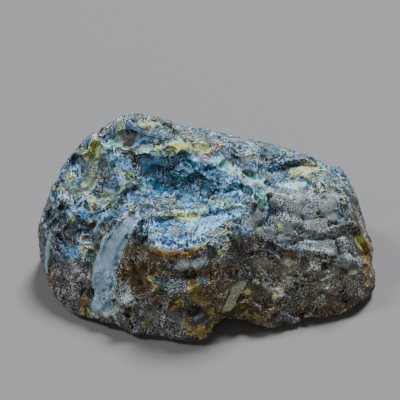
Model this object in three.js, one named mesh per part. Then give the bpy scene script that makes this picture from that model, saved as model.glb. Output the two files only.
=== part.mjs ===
// A raw lump of amber, as dug: one solid stone about 110 mm long, broken on every side.
// Units are millimetres, +Z is up, +X runs along the stone and -Y is its broad front.
// The origin is on the ground, under the middle of the stone's bounding box.
//
// The stone is three blocks grown together: a main block, a low block at the +X end and
// a knob on top at the -X end. Each block is bounded by flat broken faces with worn edges.
// Hollows are then scooped out of it, a ripple is laid over it, and it is cut flat below.

import * as THREE from 'three';
import { mergeVertices } from 'three/addons/utils/BufferGeometryUtils.js';
import { ImprovedNoise } from 'three/addons/math/ImprovedNoise.js';

const CORE = new THREE.Vector3(-2, -6, 18);
const BALL = { detail: 21, halfLength: 55, halfDepth: 36, halfHeight: 27 };
const EDGE_WEAR = 3.5;
const BLOCK_JOIN = 4.0;

// A face is [which way it looks round Z from +X, how far it looks up, a point on it].
const mainBlock = [
  [264, 18, [-6, -34, 28]],
  [246, 10, [-30, -36.5, 0]],
  [243, 32, [-27, -27.5, 21]],
  [201, 4, [-50, -15, 13]],
  [236, 48, [-22, -8, 41]],
  [200, 38, [-45, -4, 33]],
  [165, 35, [-43, 4, 33.5]],
  [253, 67, [3, -20, 35]],
  [240, 84, [3, -21, 35]],
  [10, 80, [10, 10, 39]],
  [350, 40, [16, -20, 33.5]],
  [95, 40, [-10, 10, 40.5]],
  [84, 14, [-10, 26, 8]],
  [118, 12, [-27, 23.5, 8]],
  [145, 12, [-42, 10, 15]],
  [318, 8, [10, -34, 9]],
  [35, 16, [36, 12, 14]],
];
const lowBlock = [
  [283, 22, [25, -38, 0]],
  [289, 44, [18.5, -27, 24]],
  [312, 12, [52, -27, 0]],
  [350, 30, [52.2, -14, 18.5]],
  [355, 0, [57.5, -14, 5]],
  [10, 78, [37.6, 8, 34]],
  [80, 42, [34, 12, 33.5]],
  [76, 12, [30, 20, 8]],
  [26, 14, [51.5, 6, 12]],
  [245, 10, [15, -38.5, 0]],
  [180, 0, [4, 0, 10]],
];
const knob = [
  [110, 84, [-17, 3, 51.5]],
  [185, 45, [-31.5, 2, 47.5]],
  [250, 42, [-22, -3, 46]],
  [290, 35, [-12, -4, 44.5]],
  [345, 55, [-9, 8, 45.5]],
  [95, 30, [-18, 9, 49]],
  [150, 30, [-32, 8, 45]],
  [190, 15, [-46.5, 0, 30]],
  [270, -90, [0, 0, 29]],
];
const blocks = [mainBlock, lowBlock, knob];

// A hollow is an ellipsoid scooped out: its middle, its half sizes and the wear of its rim.
const hollows = [
  { at: [-4, -14.5, 48.5], half: [25, 12, 15], worn: 3 },
  { at: [-38, -30, 34], half: [9, 12, 11], worn: 3 },
  { at: [-52, -30, 20], half: [8, 9, 13], worn: 3 },
  { at: [36, -6, 45], half: [22, 8, 12], worn: 4 },
  { at: [10.5, -41, 1], half: [4.5, 7, 12], worn: 2 },
];
const RIPPLES = [{ size: 13, height: 0.9 }, { size: 6, height: 0.5 }];
const SEAT_WEAR = 4;
const SEAT_FLAT = 0.05;

const smoothMax = (a, b, k) => Math.max(a, b) + Math.max(k - Math.abs(a - b), 0) ** 2 / (4 * k);
const smoothMin = (a, b, k) => -smoothMax(-a, -b, k);
const degrees = THREE.MathUtils.degToRad;

function facePlane([around, upward, point]) {
  const normal = new THREE.Vector3(
    Math.cos(degrees(upward)) * Math.cos(degrees(around)),
    Math.cos(degrees(upward)) * Math.sin(degrees(around)),
    Math.sin(degrees(upward)));
  return new THREE.Plane().setFromNormalAndCoplanarPoint(normal, new THREE.Vector3(...point));
}

const blockPlanes = blocks.map((faces) => faces.map(facePlane));
const noise = new ImprovedNoise();
const ripple = (p, size) => noise.noise(p.x / size + 7.3, p.y / size + 2.9, p.z / size + 4.1);

function depthOutside(p) {
  let gap = Infinity;
  for (const planes of blockPlanes) {
    const depths = planes.map((plane) => plane.distanceToPoint(p));
    const out = depths.reduce((a, b) => smoothMax(a, b, EDGE_WEAR));
    gap = gap === Infinity ? out : smoothMin(gap, out, BLOCK_JOIN);
  }
  for (const { at, half, worn } of hollows) {
    const q = new THREE.Vector3(...half.map((h, i) => (p.getComponent(i) - at[i]) / h));
    const inHollow = (q.length() - 1) * Math.min(...half);
    gap = smoothMax(gap, -inHollow, worn);
  }
  for (const { size, height } of RIPPLES) gap += height * ripple(p, size);
  return smoothMax(gap, -p.z, SEAT_WEAR);
}

function surfaceAlong(direction) {
  let outer = 90;
  const p = new THREE.Vector3();
  const gapAt = (r) => depthOutside(p.copy(CORE).addScaledVector(direction, r));
  while (outer > 1 && gapAt(outer) > 0) outer -= 1;
  let inner = outer;
  outer += 1;
  for (let i = 0; i < 12; i++) {
    const half = (inner + outer) / 2;
    if (gapAt(half) > 0) outer = half;
    else inner = half;
  }
  return inner;
}

function stoneGeometry() {
  let geometry = new THREE.IcosahedronGeometry(1, BALL.detail);
  geometry.deleteAttribute('normal');
  geometry.deleteAttribute('uv');
  geometry = mergeVertices(geometry);
  const position = geometry.getAttribute('position');
  const v = new THREE.Vector3();
  for (let i = 0; i < position.count; i++) {
    v.fromBufferAttribute(position, i);
    v.set(v.x * BALL.halfLength, v.y * BALL.halfDepth, v.z * BALL.halfHeight).normalize();
    const r = surfaceAlong(v);
    const z = CORE.z + v.z * r;
    position.setXYZ(i, CORE.x + v.x * r, CORE.y + v.y * r, z < SEAT_FLAT ? 0 : z);
  }
  geometry.computeBoundingBox();
  const middle = geometry.boundingBox.getCenter(new THREE.Vector3());
  geometry.translate(-middle.x, -middle.y, 0);
  geometry.computeVertexNormals();
  return geometry;
}

const amber = new THREE.Mesh(
  stoneGeometry(),
  new THREE.MeshStandardMaterial({ color: 0x4a4438, roughness: 0.55, metalness: 0 }),
);
amber.name = 'amber_stone';

const part = new THREE.Group();
part.add(amber);
export default part;
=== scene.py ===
import math

import bmesh
import bpy
import numpy as np
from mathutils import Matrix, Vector, noise


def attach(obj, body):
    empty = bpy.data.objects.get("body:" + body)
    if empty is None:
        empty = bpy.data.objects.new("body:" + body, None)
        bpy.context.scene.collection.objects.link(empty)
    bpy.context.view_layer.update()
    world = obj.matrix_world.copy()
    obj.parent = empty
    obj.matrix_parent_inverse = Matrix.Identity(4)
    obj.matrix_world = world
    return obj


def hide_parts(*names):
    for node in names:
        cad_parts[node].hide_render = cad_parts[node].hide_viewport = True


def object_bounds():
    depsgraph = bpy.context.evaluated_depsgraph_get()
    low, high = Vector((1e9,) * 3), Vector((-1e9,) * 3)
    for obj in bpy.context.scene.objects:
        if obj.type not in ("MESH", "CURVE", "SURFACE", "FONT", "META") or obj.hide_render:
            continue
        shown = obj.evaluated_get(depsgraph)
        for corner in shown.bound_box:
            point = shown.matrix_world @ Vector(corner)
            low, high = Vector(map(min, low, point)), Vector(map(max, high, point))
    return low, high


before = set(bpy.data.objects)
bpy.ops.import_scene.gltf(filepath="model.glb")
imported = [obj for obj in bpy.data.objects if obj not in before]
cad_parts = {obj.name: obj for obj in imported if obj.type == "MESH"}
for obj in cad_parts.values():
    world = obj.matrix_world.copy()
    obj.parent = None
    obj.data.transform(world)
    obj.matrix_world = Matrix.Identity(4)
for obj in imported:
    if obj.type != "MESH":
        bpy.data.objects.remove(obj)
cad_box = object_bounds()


# ---------------------------------------------------------------------------
# The stone. One lump of fossil tree resin as it was dug: a hard, brittle, glassy body in a
# thin dull crust. Its shape was made by breaking, so it is chipped all over in flat and
# cupped scars. It is one piece, so one closed mesh takes the place of the whole solid.

MM = 0.001
# Seeds of the chips and of the small spots.
GRAIN_SEED = 7
SPOT_SEED = 11
# The mesh's cell in mm, and the share of its triangles that is kept at the end.
CELL = 0.50
KEPT_SHARE = 0.96
# How far the skin stands out before it is chipped, the slow swell in it, and the span of one
# swell, in mm.
ROOT_SWELL = 0.55
SWELL = 0.7
SWELL_SPAN = 11.0
# The crumbs of the broken skin: their span and how far they stand out, in mm.
CRUMB_SPAN = 1.4
CRUMB = 0.17
# No chip goes deeper than this, and pits and black spots are sunk by these, in mm.
DEEPEST = 2.2
PIT_DEPTH = 0.8
BLACK_DEPTH = 0.6
# The way that the broad side with the basin, the band and the crust faces.
FRONT = np.array([0.0, -0.79, 0.62])


def freeze(piece):
    """Settles a piece's modifiers into its mesh."""
    graph = bpy.context.evaluated_depsgraph_get()
    settled = bpy.data.meshes.new_from_object(piece.evaluated_get(graph))
    piece.modifiers.clear()
    piece.data = settled


def coordinates(mesh):
    """Where the mesh's points are, in millimetres."""
    flat = np.empty(len(mesh.vertices) * 3, np.float32)
    mesh.vertices.foreach_get("co", flat)
    return flat.reshape(-1, 3).astype(float) / MM


def normals(mesh):
    """Which way the surface faces at each of the mesh's points."""
    flat = np.empty(len(mesh.vertices) * 3, np.float32)
    mesh.vertex_normals.foreach_get("vector", flat)
    return flat.reshape(-1, 3).astype(float)


def put(mesh, points):
    """Moves the mesh's points to these places, in millimetres."""
    mesh.vertices.foreach_set("co", (points * MM).astype(np.float32).ravel())
    mesh.update()


core = bmesh.new()
core.from_mesh(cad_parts["amber_stone"].data)
bmesh.ops.remove_doubles(core, verts=core.verts, dist=0.01 * MM)
bmesh.ops.recalc_face_normals(core, faces=core.faces)
for _ in range(2):
    bmesh.ops.smooth_vert(
        core, verts=core.verts, factor=0.5, use_axis_x=True, use_axis_y=True, use_axis_z=True
    )
lump_mesh = bpy.data.meshes.new("raw_amber")
core.to_mesh(lump_mesh)
core.free()
lump = bpy.data.objects.new("raw_amber", lump_mesh)
bpy.context.scene.collection.objects.link(lump)

rounding = lump.modifiers.new("rounding", "SUBSURF")
rounding.levels = 1
rounding.render_levels = 1
even = lump.modifiers.new("even", "REMESH")
even.mode = "VOXEL"
even.voxel_size = CELL * MM
freeze(lump)

rng = np.random.default_rng(GRAIN_SEED)


def closeness(points, strokes):
    """1 on the middle line of a stroke, 0 at its radius and less outside it."""
    best = np.full(len(points), -4.0)
    for stroke in strokes:
        ends = list(zip(stroke, stroke[1:])) or [(stroke[0], stroke[0])]
        for a, b in ends:
            a = np.array(a, float)
            b = np.array(b, float)
            along = b[:3] - a[:3]
            length = max(along @ along, 1e-9)
            t = np.clip((points - a[:3]) @ along / length, 0, 1)
            radius = a[3] + (b[3] - a[3]) * t
            gap = np.linalg.norm(points - a[:3] - t[:, None] * along, axis=1)
            best = np.maximum(best, 1 - gap / radius)
    return best


# Ridges and hollows of this lump. Each is a height in mm, how steep its sides are, and a
# stroke on the surface, which is a run of (x, y, z, radius) in mm.
relief = (
    # The ridge between the basin and the flash facet, the basin's floor, and the ridge behind.
    (1.6, 1.5, [(-14, -11.5, 32, 2.2), (-6, -10.5, 32.5, 2.4), (1, -10.5, 33.5, 2.6),
                (10, -11.5, 36, 2.6), (17, -9, 35, 2.2)]),
    (-0.6, 1.3, [(-14, -4, 34.5, 5), (-4, -3, 35, 7), (3, -3, 35.5, 6)]),
    (1.4, 2.0, [(-18, 3.5, 43, 2.2), (-12, 5, 42.5, 2.8), (-6.5, 9, 41, 2.8), (-1, 12, 40, 2.6)]),
    # The lip over the clear strip, the undercut below it, and the knob and hollows low on the front.
    (1.6, 1.5, [(-16, -22, 26, 2.2), (-10.5, -24, 27, 2.6), (-5, -24.5, 28, 2.6), (1, -23, 30, 2.2)]),
    (-2.2, 1.2, [(-15, -27, 20, 3), (-7, -29, 21.5, 3.4), (0, -28.5, 23, 3)]),
    (1.4, 1.5, [(-5.5, -30, 18, 3.2)]),
    (-3.0, 1.5, [(-5.5, -28.5, 22, 2.4)]),
    (-2.6, 1.5, [(-4, -32.5, 11, 2.8)]),
    (-1.2, 1.5, [(19.5, -18, 24.5, 2.6)]),
    # The groove that the pale band lies in, and the edges on either side of it.
    (-1.3, 2.5, [(-23, -12.5, 31.5, 1.6), (-25.5, -15.5, 28.5, 2.8), (-28.5, -17.5, 23.5, 3.6),
                 (-30.5, -20.5, 18.5, 4.2), (-30.5, -24, 15, 4.4), (-30, -26.5, 10.5, 4.8)]),
    (1.6, 1.6, [(-21.5, -16, 29, 1.8), (-24, -19.5, 23.5, 2.0), (-26, -23.5, 17, 2.2),
                (-25, -27.5, 11, 2.0)]),
    (-0.9, 1.3, [(-20.5, -19.5, 26, 2), (-21.5, -23.5, 21, 2.8), (-21, -27, 15, 2.4)]),
    (-1.4, 1.3, [(-32, -12, 27, 1.4), (-35, -16, 20, 1.8), (-36, -20, 13, 1.8)]),
    # The dull face, the notch beside it, and the brow of the grey crust.
    (-1.2, 2.0, [(11, -26.5, 16, 2), (8, -27.5, 12, 3.4), (5.5, -28.5, 7, 3)]),
    (-2.0, 1.3, [(13, -22, 26, 2.4), (14, -25, 17, 2.6), (13, -27.5, 8, 2.8)]),
    (1.2, 1.5, [(12, -19, 29.5, 2.4), (22, -18.5, 25.5, 2.6), (34, -18, 20, 2.6), (43, -16, 17, 2.4)]),
)

# Deep round scars on the end at -X, each (x, y, z, radius, depth) in mm.
cups = (
    (-31.5, 0.5, 39, 3.0, 1.3), (-29, -2, 37.5, 3.4, 1.4), (-27, 3, 41.5, 2.6, 1.0),
    (-22, -6.5, 34.5, 3.8, 1.5), (-24.5, -9.5, 32.5, 2.4, 1.0), (-39, 2.5, 37.5, 3.4, 1.3),
    (-37, -3, 34, 3.2, 1.2), (-34, -7.5, 31.5, 3.4, 1.3), (-43, -2, 32.5, 3.0, 1.2),
    (-45, -7, 26.5, 3.6, 1.4), (-43, -11, 23.5, 4.2, 1.6), (-42.5, -14, 18.5, 3.6, 1.4),
    (-47, -13, 12, 2.6, 1.0), (-24, 6, 44, 3.0, 1.0), (-19.5, 3, 41, 2.8, 1.0),
    (-18.5, -1.5, 37.5, 2.6, 1.0),
)

# What covers the resin, as strokes on the surface, each a run of (x, y, z, radius) in mm.
covers = {
    # Dark glassy faces: behind the basin, on the far right of the top, and down the -X end.
    "slate": [
        [(4, 11, 40, 2.5), (10, 5, 39, 3)],
        [(20, 9, 37, 3), (27, 8, 35, 3)],
        [(33, 15, 35, 2.5)],
        [(18, 0, 35, 2), (24, 3, 34, 2.5)],
        [(-14, -8, 33, 2.5), (-4, -9, 33, 2)],
        [(-37, -6, 31, 4), (-38, -11, 26, 3)],
        [(-46, -3, 28, 3.5), (-45, -10, 23, 3.5), (-45, -15, 17, 3)],
        [(-50, -3, 24, 2), (-50, -9, 18, 2)],
        [(-18, -14, 31, 3), (-20, -19, 27, 1.5)],
    ],
    # The hollow in the middle of the top, and two lesser ones.
    "basin": [
        [(-17, 1, 40, 4), (-10, 3, 39, 4), (-3, 4, 38, 4.5), (2, 1, 37, 4)],
        [(-17, -2, 36, 3), (-8, -3, 34, 4.5), (2, -3, 34, 5), (7, -6, 36, 4.5), (10, -10, 37, 3)],
        [(5, 0, 38, 2.5), (9, -4, 37, 2.5)],
        [(23, 6, 35, 2.5)],
        [(-19, -15, 31, 2), (-9, -15, 32, 2.5)],
        [(-38, -8, 29, 2)],
    ],
    # Pale green edges round the basin and on the knob.
    "mint": [
        [(-33, 6, 44, 2), (-27, 6, 46, 2)],
        [(-20, 4, 44, 1.5), (-16, 4, 42, 1.5)],
        [(2, 5, 40, 1.5), (8, 2, 39, 1.5), (14, -3, 38, 2)],
        [(16, 0, 36, 2.5), (17, -6, 36, 2)],
        [(14, -9, 36, 2), (18, -10, 34, 2)],
        [(-9, -11, 32, 1), (5, -12, 35, 1), (16, -10, 34, 1)],
        [(15, 14, 38, 2)],
        [(23, 1, 34, 1.5), (30, 3, 33, 1.5)],
        [(37, 10, 34, 2)],
    ],
    # Painted reflection: the blue flash of the sky on the lip in front of the basin, and its echoes on the
    # knob.
    "flash": [
        [(-6, -16, 32, 2), (2, -16, 34, 2.5), (11, -14, 34, 1.5)],
        [(-15, -19, 29, 2.5), (-5, -21, 30, 2), (3, -18, 32, 1.5)],
        [(-20, 2, 41, 1.5), (-12, 2, 39, 1.5)],
        [(-32, 4, 42, 1.5), (-24, 1, 41, 2)],
        [(2, -12, 34, 1.5)],
    ],
    # Painted glints: violet and bright blue glints in the scars.
    "violet": [
        [(-28, -2, 38, 2)], [(-25, -10, 32, 2)], [(-17, -9, 32, 2)],
        [(-14, -20, 28, 2), (-10, -21, 29, 1.5)],
    ],
    "cyan": [
        [(-21, -6, 35, 2)], [(-43, -13, 19, 2), (-40, -15, 18, 2)],
    ],
    # Purplish grey faces.
    "plum": [
        [(28, -2, 33, 2), (32, -1, 32, 2)], [(-33, 3, 41, 2)], [(-26, 6, 47, 2), (-22, 7, 48, 1.5)],
        [(-36, -15, 22, 1.5)], [(20, 10, 37, 1.5)], [(12, -15, 33, 1.5)], [(10, -21, 28, 2)],
    ],
    # Painted highlights: thin bright edges that run round the scars at the -X end, where they would catch
    # the light.
    "seam": [
        [(-31, 0, 39, 0.8), (-27, 0, 40, 0.8), (-25, -4, 36, 0.8)],
        [(-32, -3, 35, 0.8), (-27, -5, 35, 0.8), (-22, -3, 37, 0.8), (-18, -6, 34, 0.8)],
        [(-27, -7, 34, 0.8), (-31, -10, 30, 0.8), (-33, -12, 28, 0.8)],
        [(-23, -10, 33, 0.8), (-20, -14, 31, 0.8)],
        [(-38, -13, 24, 1.4), (-37, -17, 18, 1.4)],
        [(-46, -4, 29, 0.8), (-47, -8, 23, 0.8)],
    ],
    # Sulphur yellow rind: the ridge behind the basin, the shoulder, the top edge, the +X corner.
    "yellow": [
        [(-11, 7, 43, 2), (-3, 11, 40, 2.5), (1, 10, 40, 1.5)],
        [(-6, 14, 42, 1.5)],
        [(-21, 10, 50, 1.2), (-15, 13, 48, 1.2)],
        [(-38, 6, 41, 1.5), (-35, 8, 45, 2)],
        [(-9, -12, 32, 1.2), (-3, -13, 33, 1)],
        [(28, 7, 35, 2), (34, 10, 35, 2)],
        [(48, -8, 20, 2), (51, -8, 15, 1.8)],
        [(19, -6, 36, 1.2), (24, -4, 35, 1)],
        [(8, 21, 38, 1.3)],
        [(-36, -5, 33, 1.8)],
    ],
    # Brown-yellow rind low on the front.
    "gold": [
        [(-5, -29, 21, 2.4), (-2, -31, 15, 2.8)],
        [(-9, -31, 13, 2.6)],
        [(-5, -34, 5, 2.2), (1, -33, 5, 2)],
        [(1, -29, 21, 1.8)],
        [(12, -28, 7, 1.8), (17, -29, 5, 1.5)],
        [(8, -25, 20, 1.4)],
        [(-38, -24, 7, 1.7)],
    ],
    # Reddish stain in the cracks, and black hollows.
    "rust": [
        [(-10, -31, 12, 1.8)], [(15, -20, 24, 1.6)], [(6, -25, 24, 1.3)], [(-32, -15, 25, 1.5)],
        [(31, 1, 33, 1.3)], [(38, 6, 33, 1.1)], [(-39, -21, 11, 1.4)],
    ],
    "black": [
        [(-11, -7, 32, 1.5), (-7, -8, 32, 1.2)],
        [(-45, -8, 24, 2.5), (-42, -12, 22, 2.5)],
        [(-36, -20, 16, 2.4)],
        [(19, -18, 24, 2), (22, -19, 22, 1.6)],
        [(-4, -29, 22, 1.5)],
        [(-3, -32, 12, 2)],
        [(-37, -11, 27, 1.7)],
    ],
    # Dull grey crust over the slope in front of the +X half.
    "crust": [
        [(12, -17, 32, 1.5), (16, -13, 32, 2.5)],
        [(21, -8, 34, 2), (27, -8, 31, 4), (35, -6, 30, 4), (40, -3, 31, 3)],
        [(22, -13, 29, 3), (30, -13, 26, 3.5), (39, -10, 26, 4)],
        [(43, -13, 22, 3), (44, -16, 18, 2.5)],
        [(17, -16, 28, 2.5), (25, -15, 26, 2.5)],
        [(30, -16, 23, 3), (38, -15, 21, 3)],
    ],
    # Earthy crust under it.
    "soil": [
        [(15, -23, 20, 3), (24, -22, 18, 4), (32, -22, 15, 4.5), (40, -21, 12, 4)],
        [(14, -26, 14, 2.5), (24, -25, 12, 4), (33, -25, 9, 4)],
        [(44, -19, 13, 3), (45, -20, 8, 2)],
    ],
    # Holes in the grey crust.
    "pit": [
        [(28, -13, 26, 1.4)], [(36, -4, 31, 1.4)], [(42, -3, 30, 1.2)], [(38, -10, 26, 1.1)],
    ],
    # The smooth pale skin: one broad band and three slivers.
    "pale": [
        [(-22, -12, 31, 1), (-25, -15, 29, 2.5), (-29, -17, 24, 3.7), (-31, -20, 19, 4), (-31, -23, 15, 4),
         (-32, -26, 10, 3.4), (-34, -27, 7, 2)],
        [(-21, -14, 31, 0.6), (-22, -18, 27, 0.7)],
        [(-30, -10, 30, 0.7), (-34, -13, 26, 1)],
        [(-49, -9, 21, 0.8), (-50, -13, 10, 1.2)],
    ],
    # Whitish bloom round the band's foot and under the clear strip.
    "frost": [
        [(-33, -27, 8, 3), (-28, -28, 9, 3.8)],
        [(-24, -26, 14, 2.4), (-25, -28, 11, 2.6)],
        [(-23, -21, 23, 2), (-22, -19, 26, 1.5)],
        [(-8, -27, 24, 1.5), (0, -26, 27, 1.6)],
    ],
    # The dull tan face at the notch.
    "dull": [
        [(11, -26, 16, 1.2), (9, -27, 14, 2.3), (6, -28, 9, 2.5)],
    ],
    # The two thin places that let light in.
    "window": [
        [(-15, -23, 26, 0.8), (-11, -24, 26, 1.2), (-5, -25, 28, 1.4), (-1, -24, 30, 0.9)],
        [(51, -8, 16, 2), (50, -14, 11, 2.6)],
    ],
}

# Small spots of the same covers, strewn by chance over the broad front: what they are, how
# many, their radius, and the box of x, y and z that they lie in, in mm.
spots = (
    ("violet", 8, (1.0, 1.7), ((-46, -16), (-25, 12), (8, 50))),
    ("cyan", 6, (0.9, 1.5), ((-48, -16), (-25, 12), (8, 50))),
    ("yellow", 12, (0.8, 1.5), ((-48, -12), (-30, 14), (4, 50))),
    ("yellow", 12, (0.8, 1.5), ((-12, 48), (-30, 25), (4, 50))),
    ("mint", 14, (0.8, 1.6), ((-48, 40), (-12, 20), (26, 50))),
    ("flash", 8, (0.8, 1.5), ((-46, 0), (-12, 14), (26, 50))),
    ("plum", 12, (0.8, 1.6), ((-48, 40), (-20, 20), (20, 50))),
    ("black", 12, (0.8, 1.6), ((-46, 40), (-36, -18), (2, 28))),
    ("rust", 16, (0.8, 1.5), ((-48, 46), (-34, 12), (4, 44))),
    ("gold", 14, (0.9, 1.5), ((-44, 30), (-36, -20), (2, 26))),
    ("pit", 16, (0.7, 1.3), ((16, 48), (-26, 0), (8, 34))),
)

at = coordinates(lump.data)
rest = at.copy()
out = normals(lump.data)
swell = np.array([noise.fractal(Vector(p / SWELL_SPAN), 1.0, 2.0, 3) for p in at])
rise = ROOT_SWELL + SWELL * swell
for height, steep, stroke in relief:
    t = np.clip(steep * closeness(at, [stroke]), 0, 1)
    rise += height * t * t * (3 - 2 * t)
at = at + out * rise[:, None]
put(lump.data, at)
smooth_out = normals(lump.data)
whole = at.copy()

# The sides turned to the back and the bed have the same covers, strewn by chance: how many
# strokes, their radius and their length in mm.
strewn = {
    "slate": (7, (3.0, 6.0), 10),
    "basin": (7, (2.5, 5.5), 9),
    "mint": (9, (1.5, 3.5), 7),
    "flash": (7, (1.5, 3.5), 8),
    "violet": (9, (0.8, 1.5), 2),
    "cyan": (4, (0.9, 1.6), 2),
    "plum": (10, (1.2, 2.6), 5),
    "yellow": (18, (1.0, 2.4), 6),
    "rust": (16, (0.8, 1.9), 4),
    "black": (20, (0.9, 2.4), 4),
    "crust": (5, (3.0, 5.0), 10),
    "soil": (4, (3.0, 5.0), 10),
    "pit": (26, (0.8, 1.5), 2),
    "pale": (2, (1.5, 2.6), 13),
    "frost": (6, (0.7, 1.4), 3),
    "dull": (2, (2.0, 2.6), 7),
    "window": (2, (0.9, 1.4), 3),
}
turned = np.flatnonzero(smooth_out @ FRONT < -0.1)
for name, (count, radius, length) in strewn.items():
    for start in rest[turned[rng.integers(0, len(turned), count)]]:
        aim = start + rng.normal(0, 0.5 * length, 3)
        end = rest[np.argmin(np.linalg.norm(rest - aim, axis=1))]
        covers[name].append([(*start, rng.uniform(*radius)), (*end, rng.uniform(*radius))])
chance = np.random.default_rng(SPOT_SEED)
shown = smooth_out @ FRONT > 0.1
for name, count, radius, box in spots:
    edges = np.array(box, float)
    inside = np.all((rest > edges[:, 0]) & (rest < edges[:, 1]), axis=1)
    for spot in rest[chance.choice(np.flatnonzero(shown & inside), count)]:
        covers[name].append([(*spot, chance.uniform(*radius))])
near = {name: closeness(rest, strokes) for name, strokes in covers.items()}

# Where the glassy ground with its painted cool sky sheen goes: what faces up, the more so above 29 mm, and
# the -X end down to 12 mm.
aloft = np.clip((rest[:, 2] - 29.0) / 30.0, -0.5, 0.1)
on_end = np.clip((-20 - rest[:, 0]) / 15, 0, 1) * np.clip((rest[:, 2] - 12) / 8, 0, 1)
near["open"] = smooth_out[:, 2] + aloft + 0.35 * on_end

# What each point of the surface is: how freshly broken, and the shade of its own chip.
fresh = np.zeros(len(at))
shade = np.full(len(at), 0.5)


def knock(points, where, facing, cup, depth, reach, is_fresh, tone):
    """Knocks off a chip: a scar of radius cup, sunk to depth, no further than reach."""
    middle = where + facing * (cup - depth)
    gap = points - middle
    far = np.linalg.norm(gap, axis=1)
    hit = (far < cup) & (np.linalg.norm(points - where, axis=1) < reach)
    points[hit] = middle + gap[hit] * (cup / far[hit])[:, None]
    fresh[hit] = is_fresh
    shade[hit] = tone


for x, y, z, radius, depth in cups:
    i = np.argmin(np.linalg.norm(rest - (x, y, z), axis=1))
    bowl = (radius * radius + depth * depth) / (2 * depth)
    knock(at, at[i].copy(), smooth_out[i], bowl, depth, 1.6 * radius, 1.0, rng.random())

# Big scars, then middling ones, then small ones: how many, the radius of the ball that each is
# cut with, its depth and its reach in mm, and how far it tilts.
for count, cup, depth, reach, tilt in (
    (60, (18, 60), (0.25, 0.8), 10.0, 0.14),
    (260, (7, 30), (0.15, 0.45), 5.0, 0.20),
    (1400, (2.5, 12), (0.08, 0.25), 2.2, 0.28),
):
    for i in rng.integers(0, len(at), count):
        facing = smooth_out[i] + rng.normal(0.0, tilt, 3)
        facing = facing / np.linalg.norm(facing)
        knock(at, at[i].copy(), facing, rng.uniform(*cup), rng.uniform(*depth), reach,
              float(rng.random() < 0.6), rng.random())

# The smooth skin hardly chipped, and the dull face and the crust less than the rest.
smooth_skin = np.maximum(near["pale"], near["dull"])
kept = np.clip(np.maximum(2.2 * smooth_skin, 1.8 * near["crust"]), 0, 1)
kept[near["pale"] < 0] *= 0.75
sunk = np.linalg.norm(at - whole, axis=1)
share = np.minimum(1.0, DEEPEST / np.maximum(sunk, 1e-6)) * (1 - 0.9 * kept)
at = whole + (at - whole) * share[:, None]
holes = PIT_DEPTH * np.clip(2 * near["pit"], 0, 1)
holes += BLACK_DEPTH * np.clip(2 * near["black"], 0, 1)
at -= smooth_out * holes[:, None]

put(lump.data, at)
out = normals(lump.data)
crumb = np.array([noise.fractal(Vector(p / CRUMB_SPAN), 1.0, 2.2, 2) for p in at])
at = at + out * (CRUMB * crumb * (1.0 - 0.5 * fresh) * (1.0 - 0.7 * kept))[:, None]

# The broken skin stays inside the plain solid's box.
low, high = (np.array(corner) / MM for corner in cad_box)
at = np.clip(at, low, high)
put(lump.data, at)

for name, values in (("fresh", fresh), ("shade", shade), *near.items()):
    layer = lump.data.attributes.new(name, "FLOAT", "POINT")
    layer.data.foreach_set("value", values.astype(np.float32))
slim = lump.modifiers.new("slim", "DECIMATE")
slim.ratio = KEPT_SHARE
freeze(lump)
for face in lump.data.polygons:
    face.use_smooth = False


def linear(code):
    """An sRGB hex colour as linear red, green, blue and alpha."""
    parts = [int(code[i:i + 2], 16) / 255 for i in (1, 3, 5)]
    return [c / 12.92 if c <= 0.04045 else ((c + 0.055) / 1.055) ** 2.4 for c in parts] + [1.0]


# Fossil resin: nearly opaque, because it is full of tiny cracks and bubbles. Broken ground shows
# as grains and flakes of dark blue, teal and brown with painted pale glints and painted dark gaps,
# the faces turned up carry a painted cool sheen of the sky, the old skin shows as soft grey-blue,
# and the crust as dull grey or brown. Only two thin edges let light in, in orange.
resin = bpy.data.materials.new("fossil_resin")
resin.use_nodes = True
tree = resin.node_tree
tree.nodes.clear()


def add(kind, give=0, **given):
    """Adds a node with its settings, ramp stops and inputs (by name, or i and a number)."""
    node = tree.nodes.new(kind)
    for key, value in given.items():
        if key == "stops":
            node.color_ramp.elements.remove(node.color_ramp.elements[1])
            node.color_ramp.elements[0].position = value[0][0]
            node.color_ramp.elements[0].color = linear(value[0][1])
            for position, code in value[1:]:
                node.color_ramp.elements.new(position).color = linear(code)
        elif key[0].islower() and not key[1:].isdigit():
            setattr(node, key, value)
        else:
            socket = node.inputs[int(key[1:]) if key[1:].isdigit() else key.replace("_", " ")]
            if isinstance(value, bpy.types.NodeSocket):
                tree.links.new(value, socket)
            else:
                socket.default_value = value
    return node.outputs[give]


# The pattern's spans are in mm. The finest real flakes are under 0.1 mm, and they are drawn
# coarser, at 0.4 to 0.8 mm, so that each is still seen as a speck of its own.
place = add("ShaderNodeTexCoord", "Object")
in_mm = add("ShaderNodeMapping", Vector=place, Scale=(1000, 1000, 1000))
bend = add("ShaderNodeTexNoise", "Color", Vector=in_mm, Scale=1 / 9.0, Detail=1.0)
bend = add("ShaderNodeVectorMath", operation="SUBTRACT", i0=bend, i1=(0.5, 0.5, 0.5))
bend = add("ShaderNodeVectorMath", operation="SCALE", i0=bend, Scale=8.0)
bent = add("ShaderNodeVectorMath", operation="ADD", i0=in_mm, i1=bend)
tear = add("ShaderNodeTexNoise", "Color", Vector=in_mm, Scale=1 / 0.9, Detail=2.0, Roughness=0.7)
tear = add("ShaderNodeVectorMath", operation="SCALE", i0=tear, Scale=1.6)
torn_bent = add("ShaderNodeVectorMath", operation="ADD", i0=bent, i1=tear)
grain_hue = add("ShaderNodeTexVoronoi", "Color", Vector=torn_bent, Scale=1 / 0.75, Randomness=1.0)
facet_hue = add("ShaderNodeTexVoronoi", "Color", Vector=torn_bent, Scale=1 / 2.2, Randomness=1.0)
scar_hue = add("ShaderNodeTexVoronoi", "Color", Vector=torn_bent, Scale=1 / 4.0, Randomness=1.0)
turned_by = add("ShaderNodeVectorMath", operation="SCALE", i0=scar_hue, Scale=2.6)
own_way = add("ShaderNodeVectorRotate", rotation_type="EULER_XYZ", Vector=bent, Rotation=turned_by)
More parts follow.
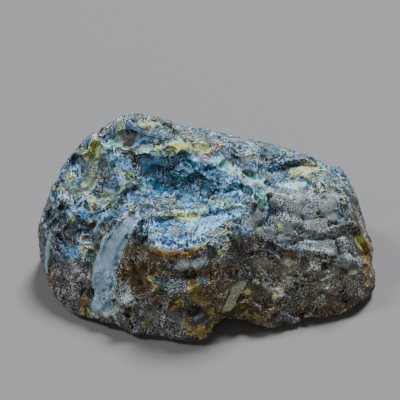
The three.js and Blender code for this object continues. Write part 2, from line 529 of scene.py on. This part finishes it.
flow = add("ShaderNodeMapping", Vector=own_way, Scale=(0.24, 1, 1))
torn_flow = add("ShaderNodeVectorMath", operation="ADD", i0=flow, i1=tear)
flake_hue = add("ShaderNodeTexVoronoi", "Color", Vector=torn_flow, Scale=1 / 0.75, Randomness=1.0)
clump = add("ShaderNodeTexNoise", Vector=bent, Scale=1 / 3.4, Detail=4.0, Roughness=0.6)
grit = add("ShaderNodeTexNoise", Vector=in_mm, Scale=1 / 0.38, Detail=2.0, Roughness=0.6)
streak = add("ShaderNodeTexNoise", Vector=flow, Scale=1 / 0.55, Detail=2.0, Roughness=0.6)
broken = add("ShaderNodeMix", 0, data_type="FLOAT", i0=0.30, i2=streak, i3=grit)
patch = add("ShaderNodeTexNoise", Vector=in_mm, Scale=1 / 13.0, Detail=3.0, Roughness=0.5)
fresh_here = add("ShaderNodeAttribute", "Fac", attribute_name="fresh")
shade_here = add("ShaderNodeAttribute", "Fac", attribute_name="shade")
outward = add("ShaderNodeNewGeometry", "Normal")

# How light each bit of ground is, from 0 to 1: one tone for ground broken into grains, one
# for ground broken along its flow, and one for smooth faces.
grain_tone = add("ShaderNodeSeparateColor", i0=grain_hue)
flake_tone = add("ShaderNodeSeparateColor", i0=flake_hue)
facet_tone = add("ShaderNodeSeparateColor", i0=facet_hue)
busy = add("ShaderNodeSeparateColor", 2, i0=facet_hue)
busy = add("ShaderNodeMapRange", i0=busy, i1=0.1, i2=0.9, i3=0.55, i4=1.45)
stir = add("ShaderNodeTexNoise", Vector=bent, Scale=1 / 6.0, Detail=2.0, Roughness=0.6)
stir = add("ShaderNodeMapRange", i0=stir, i1=0.40, i2=0.60, i3=0.45, i4=1.55)
busy = add("ShaderNodeMath", operation="MULTIPLY", i0=busy, i1=stir)
own = add("ShaderNodeMath", operation="ADD", i0=shade_here, i1=facet_tone)
own = add("ShaderNodeMath", operation="SUBTRACT", i0=own, i1=1.0)
tones = {}
flecks = {}
for name, fine, fine_part, clump_part, cells, cell_part, own_part in (
    ("grains", grit, 0.95, 0.46, grain_tone, 0.10, 0.06),
    ("fine", grit, 0.75, 0.28, grain_tone, 0.05, 0.03),
    ("flow", broken, 1.25, 0.42, flake_tone, 0.06, 0.08),
    ("smooth", streak, 0.45, 0.35, flake_tone, 0.02, 0.02),
):
    fine_off = add("ShaderNodeMath", operation="SUBTRACT", i0=fine, i1=0.5)
    fine_off = add("ShaderNodeMath", operation="MULTIPLY", i0=fine_off, i1=fine_part)
    cell_off = add("ShaderNodeMath", operation="SUBTRACT", i0=cells, i1=0.5)
    clump_off = add("ShaderNodeMath", operation="SUBTRACT", i0=clump, i1=0.5)
    tone = add("ShaderNodeMath", operation="MULTIPLY_ADD", i0=cell_off, i1=cell_part, i2=fine_off)
    tone = add("ShaderNodeMath", operation="MULTIPLY", i0=tone, i1=busy)
    flecks[name] = tone
    tone = add("ShaderNodeMath", operation="MULTIPLY", i0=tone, i1=0.40)
    tone = add("ShaderNodeMath", operation="MULTIPLY_ADD", i0=clump_off, i1=clump_part, i2=tone)
    tone = add("ShaderNodeMath", operation="MULTIPLY_ADD", i0=own, i1=own_part, i2=tone)
    tones[name] = add("ShaderNodeMapRange", i0=tone, i1=-0.15, i2=0.15)

# Painted highlights: thin bright splinters, where a crack's edge would catch the light.
ridge = add("ShaderNodeMath", operation="SUBTRACT", i0=streak, i1=0.5)
ridge = add("ShaderNodeMath", operation="ABSOLUTE", i0=ridge)
ridge = add("ShaderNodeMapRange", i0=ridge, i1=0.016, i2=0.002)
splinter_highlight = add("ShaderNodeMapRange", i0=grit, i1=0.50, i2=0.60)
splinter_highlight = add("ShaderNodeMath", operation="MULTIPLY", i0=splinter_highlight, i1=ridge)

# The ground under the covers: grey rind with earthy ochre patches on the sides, and glassy slate, navy,
# moss and plum ground on what faces up, whose cool blue-grey is partly the resin's own glassy colour and
# partly painted sheen of the sky.
sky_facing = add("ShaderNodeAttribute", "Fac", attribute_name="open")
sky_facing = add("ShaderNodeMath", operation="MULTIPLY_ADD", i0=clump, i1=0.8, i2=sky_facing)
sky_facing = add("ShaderNodeMath", operation="MULTIPLY_ADD", i0=grit, i1=0.2, i2=sky_facing)
# The faces turned up, where the painted sky sheen lies.
sky_sheen = add("ShaderNodeMapRange", i0=sky_facing, i1=0.92, i2=1.08)
warm = add("ShaderNodeMapRange", i0=patch, i1=0.50, i2=0.57)
rind = add("ShaderNodeValToRGB", i0=tones["grains"], stops=[
    (0.10, "#323230"), (0.38, "#50504c"), (0.62, "#686864"), (0.90, "#a0a29e")])
ochre = add("ShaderNodeValToRGB", i0=tones["grains"], stops=[
    (0.10, "#302818"), (0.38, "#54462c"), (0.62, "#6e5a3a"), (0.90, "#b09864")])
pick = add("ShaderNodeTexNoise", "Color", Vector=torn_bent, Scale=1 / 6.0, Detail=3.0, Roughness=0.6)
pick = add("ShaderNodeSeparateColor", 1, i0=pick)
facet_pick = add("ShaderNodeSeparateColor", 1, i0=facet_hue)
pick = add("ShaderNodeMath", operation="MULTIPLY_ADD", i0=facet_pick, i1=0.12, i2=pick)
slate = add("ShaderNodeValToRGB", i0=tones["flow"], stops=[
    (0.10, "#34444a"), (0.38, "#566a6c"), (0.66, "#788c88"), (0.92, "#a8d0ce")])
navy = add("ShaderNodeValToRGB", i0=tones["flow"], stops=[
    (0.10, "#203446"), (0.38, "#385268"), (0.66, "#4c6a80"), (0.92, "#6aa0c4")])
moss = add("ShaderNodeValToRGB", i0=tones["flow"], stops=[
    (0.10, "#425034"), (0.38, "#66744c"), (0.66, "#8a9862"), (0.92, "#bce098")])
plum_ground = add("ShaderNodeValToRGB", i0=tones["flow"], stops=[
    (0.10, "#383a42"), (0.38, "#585a62"), (0.66, "#76767c"), (0.92, "#a4b2ba")])
for other, begin, end in ((navy, 0.555, 0.535), (moss, 0.585, 0.60), (plum_ground, 0.645, 0.66)):
    part = add("ShaderNodeMapRange", i0=pick, i1=begin, i2=end)
    slate = add("ShaderNodeMix", 2, data_type="RGBA", i0=part, i6=slate, i7=other)
colour = add("ShaderNodeMix", 2, data_type="RGBA", i0=warm, i6=rind, i7=ochre)
colour = add("ShaderNodeMix", 2, data_type="RGBA", i0=sky_sheen, i6=colour, i7=slate)
rough = add("ShaderNodeMapRange", i0=fresh_here, i3=0.50, i4=0.18)
still = 0.0
fleck = add("ShaderNodeMix", 0, data_type="FLOAT", i0=sky_sheen, i2=flecks["grains"], i3=flecks["flow"])

# How each cover looks: its name, how ragged it is, how soft its edge is, how much of the ground
# it hides, its tone, its roughness, how still it lies, and its shades from dark to light.
looks = (
    ("slate", 1.2, 0.40, 0.90, "flow", 0.25, 0.0, ("#18242e", "#2a3a48", "#384c5c", "#5c7a94")),
    ("basin", 0.9, 0.30, 1.0, "flow", 0.25, 0.0, ("#1c4058", "#285872", "#38708e", "#54bcea")),
    ("mint", 1.4, 0.40, 0.95, "flow", 0.40, 0.0, ("#4a7470", "#78b8ae", "#98eadc", "#e4f6f4")),
    ("flash", 1.2, 0.35, 0.95, "flow", 0.22, 0.0, ("#3e70a8", "#6aaade", "#86d2f2", "#b0eaf8")),
    ("plum", 1.6, 0.40, 0.85, "grains", 0.35, 0.0, ("#3e3a38", "#68605e", "#7e7470", "#bebcb4")),
    ("violet", 0.9, 0.40, 0.95, "flow", 0.18, 0.0, ("#34507c", "#5678ac", "#709ce0", "#b4d2f4")),
    ("cyan", 0.8, 0.35, 0.95, "flow", 0.15, 0.0, ("#304c66", "#4e80a0", "#6cb0d4", "#b0e2f4")),
    ("crust", 1.0, 0.25, 0.97, "fine", 0.65, 0.7, ("#444846", "#686e6c", "#7e8886", "#aab8b4")),
    ("soil", 1.2, 0.30, 0.92, "grains", 0.70, 0.5, ("#4a463c", "#6e685a", "#827e6c", "#aca894")),
    ("frost", 1.6, 0.40, 0.90, "fine", 0.55, 0.2, ("#505450", "#848e8c", "#aeb8b6", "#f4f6f4")),
    ("seam", 0.8, 0.35, 0.9, "grains", 0.50, 0.0, ("#546870", "#84a0a2", "#9ec0c8", "#dcf4f4")),
    ("yellow", 1.0, 0.35, 0.95, "grains", 0.35, 0.0, ("#5e5c2c", "#a8ac58", "#d2da84", "#f4f2c4")),
    ("gold", 1.4, 0.35, 0.95, "grains", 0.35, 0.0, ("#3e3410", "#766424", "#a08a3c", "#dccc84")),
    ("rust", 1.8, 0.50, 0.90, "grains", 0.45, 0.0, ("#3c2610", "#583e24", "#705636", "#cab06e")),
    ("black", 1.4, 0.40, 1.00, "flow", 0.12, 0.0, ("#2c2c2c", "#444444", "#5e5c5c", "#a8a8ac")),
    ("pit", 0.6, 0.35, 0.95, "grains", 0.60, 0.0, ("#424440", "#64665e", "#7c7e72", "#c2c6b6")),
    ("pale", 0.10, 0.06, 1.00, "smooth", 0.42, 1.0, ("#6a7e8a", "#849cac", "#8eaabc", "#9ec6dc")),
    ("dull", 0.8, 0.15, 1.00, "grains", 0.60, 0.8, ("#a4a284", "#bab896", "#c2c09c", "#d0cea6")),
    ("window", 1.4, 0.40, 1.00, "grains", 0.12, 0.3, ("#6e4210", "#a8741e", "#ce9a3c", "#eccc80")),
)
here = {}
for name, ragged, edge, amount, tone, roughness, stillness, shades in looks:
    torn = add("ShaderNodeAttribute", "Fac", attribute_name=name)
    torn = add("ShaderNodeMath", operation="MULTIPLY_ADD", i0=grit, i1=ragged * 0.6, i2=torn)
    torn = add("ShaderNodeMath", operation="MULTIPLY_ADD", i0=clump, i1=ragged * 2, i2=torn)
    torn = add("ShaderNodeMapRange", i0=torn, i1=ragged * 1.3, i2=ragged * 1.3 + edge, i4=amount)
    tint = add("ShaderNodeValToRGB", i0=tones[tone], stops=list(zip((0.12, 0.38, 0.62, 0.90), shades)))
    colour = add("ShaderNodeMix", 2, data_type="RGBA", i0=torn, i6=colour, i7=tint)
    rough = add("ShaderNodeMix", 0, data_type="FLOAT", i0=torn, i2=rough, i3=roughness)
    still = add("ShaderNodeMix", 0, data_type="FLOAT", i0=torn, i2=still, i3=stillness)
    fleck = add("ShaderNodeMix", 0, data_type="FLOAT", i0=torn, i2=fleck, i3=flecks[tone])
    here[name] = torn

# Painted shade darkens the gaps between the grains, and painted glints turn the grains that would face the
# light into pale flecks.
gap = add("ShaderNodeMapRange", i0=fleck, i1=-0.11, i2=-0.02, i3=0.25, i4=1.0)
colour = add("ShaderNodeVectorMath", operation="SCALE", i0=colour, Scale=gap)
glint_colour = add("ShaderNodeGamma", Color=colour, Gamma=0.40)
glint_colour = add("ShaderNodeHueSaturation", Color=glint_colour, Saturation=0.85)
painted_glint = add("ShaderNodeMapRange", i0=fleck, i1=0.04, i2=0.11, i3=0.0, i4=0.90)
colour = add("ShaderNodeMix", 2, data_type="RGBA", i0=painted_glint, i6=colour, i7=glint_colour)

# The painted splinter highlights show on fresh glassy ground and fade out on still ground.
lively = add("ShaderNodeMapRange", i0=still, i3=0.9, i4=0.0)
splinter_highlight = add("ShaderNodeMath", operation="MULTIPLY", i0=splinter_highlight, i1=lively)
highlight_colour = add("ShaderNodeMix", 2, data_type="RGBA", i0=sky_sheen, i6=linear("#8c8674"), i7=linear("#b8d4d8"))
colour = add("ShaderNodeMix", 2, data_type="RGBA", i0=splinter_highlight, i6=colour, i7=highlight_colour)

# Every grain and flake lies a little its own way, so each takes the light alone.
lean = outward
for hue, how_far in ((facet_hue, 0.60), (flake_hue, 0.42)):
    free = add("ShaderNodeMapRange", i0=still, i3=how_far, i4=0.0)
    way = add("ShaderNodeVectorMath", operation="SUBTRACT", i0=hue, i1=(0.5, 0.5, 0.5))
    if hue is flake_hue:
        free = add("ShaderNodeMath", operation="MULTIPLY", i0=free, i1=busy)
    way = add("ShaderNodeVectorMath", operation="SCALE", i0=way, Scale=free)
    lean = add("ShaderNodeVectorMath", operation="ADD", i0=lean, i1=way)
lean = add("ShaderNodeVectorMath", operation="NORMALIZE", i0=lean)
height = add("ShaderNodeMath", operation="ADD", i0=grit, i1=streak)
strength = add("ShaderNodeMapRange", i0=still, i3=0.8, i4=0.2)
bump = add("ShaderNodeBump", Height=height, Distance=0.00025, Strength=strength, Normal=lean)
seen_into = add("ShaderNodeMath", operation="MULTIPLY", i0=here["window"], i1=0.5)
# The specular level is low because cracks and dust break the resin's gloss, and the glints are painted
# into the colour above.
shader = add(
    "ShaderNodeBsdfPrincipled", Base_Color=colour, Roughness=rough, IOR=1.54,
    Specular_IOR_Level=0.2, Transmission_Weight=seen_into, Normal=bump,
)
depth = add("ShaderNodeVolumeAbsorption", Color=linear("#e0912c"), Density=60.0)
output = tree.nodes.new("ShaderNodeOutputMaterial")
tree.links.new(shader, output.inputs["Surface"])
tree.links.new(depth, output.inputs["Volume"])
lump.data.materials.append(resin)

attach(lump, "root")
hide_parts("amber_stone")


# ---------------------------------------------------------------------------
# The studio: a plain pale floor that is flat round the stone and sweeps up far behind it, soft
# lights and the camera.

FLOOR_HALF = 6.0
FLAT_OUT_TO = 0.6
SWEEP = 0.045

floor_mesh = bpy.data.meshes.new("floor")
sheet = bmesh.new()
bmesh.ops.create_grid(sheet, x_segments=60, y_segments=60, size=FLOOR_HALF)
for corner in sheet.verts:
    corner.co.z = SWEEP * max(0.0, corner.co.xy.length - FLAT_OUT_TO) ** 2
for face in sheet.faces:
    face.smooth = True
sheet.to_mesh(floor_mesh)
sheet.free()
floor = bpy.data.objects.new("floor", floor_mesh)
bpy.context.scene.collection.objects.link(floor)
# Matt pale board, which gives a soft shadow and no reflection.
paint = bpy.data.materials.new("pale_floor")
paint.use_nodes = True
board = paint.node_tree.nodes["Principled BSDF"]
board.inputs["Base Color"].default_value = linear("#837e79")
board.inputs["Roughness"].default_value = 0.8
floor.data.materials.append(paint)


def lamp(name, place, softness, strength, colour):
    """A wide soft light that shines from the side of this place, the same all over."""
    data = bpy.data.lights.new(name, "SUN")
    data.angle = math.radians(softness)
    data.energy = strength
    data.color = linear(colour)[:3]
    light = bpy.data.objects.new(name, data)
    light.rotation_euler = Vector(place).to_track_quat("Z", "Y").to_euler()
    bpy.context.scene.collection.objects.link(light)


lamp("sky", (0.20, 0.38, 0.74), 18.0, 5.4, "#e6eefa")
lamp("window", (-0.55, 0.05, 0.66), 12.0, 1.9, "#e4eefa")
lamp("fill", (-0.2, -0.9, 0.5), 55.0, 0.20, "#fff1e0")

world = bpy.data.worlds.new("room")
world.use_nodes = True
air = world.node_tree.nodes["Background"]
air.inputs["Color"].default_value = linear("#cdd3da")
air.inputs["Strength"].default_value = 0.17
bpy.context.scene.world = world

ELEVATION = math.radians(38.0)
DISTANCE = 0.246
LOOK_AT = Vector((-0.00209, 0.00752, 0.022))
lens = bpy.data.cameras.new("camera")
lens.sensor_width = 36.0
lens.lens = 67.5
lens.clip_start = 0.01
camera = bpy.data.objects.new("camera", lens)
camera.location = LOOK_AT + DISTANCE * Vector((0, -math.cos(ELEVATION), math.sin(ELEVATION)))
camera.rotation_euler = (math.pi / 2 - ELEVATION, 0, 0)
bpy.context.scene.collection.objects.link(camera)
bpy.context.scene.camera = camera
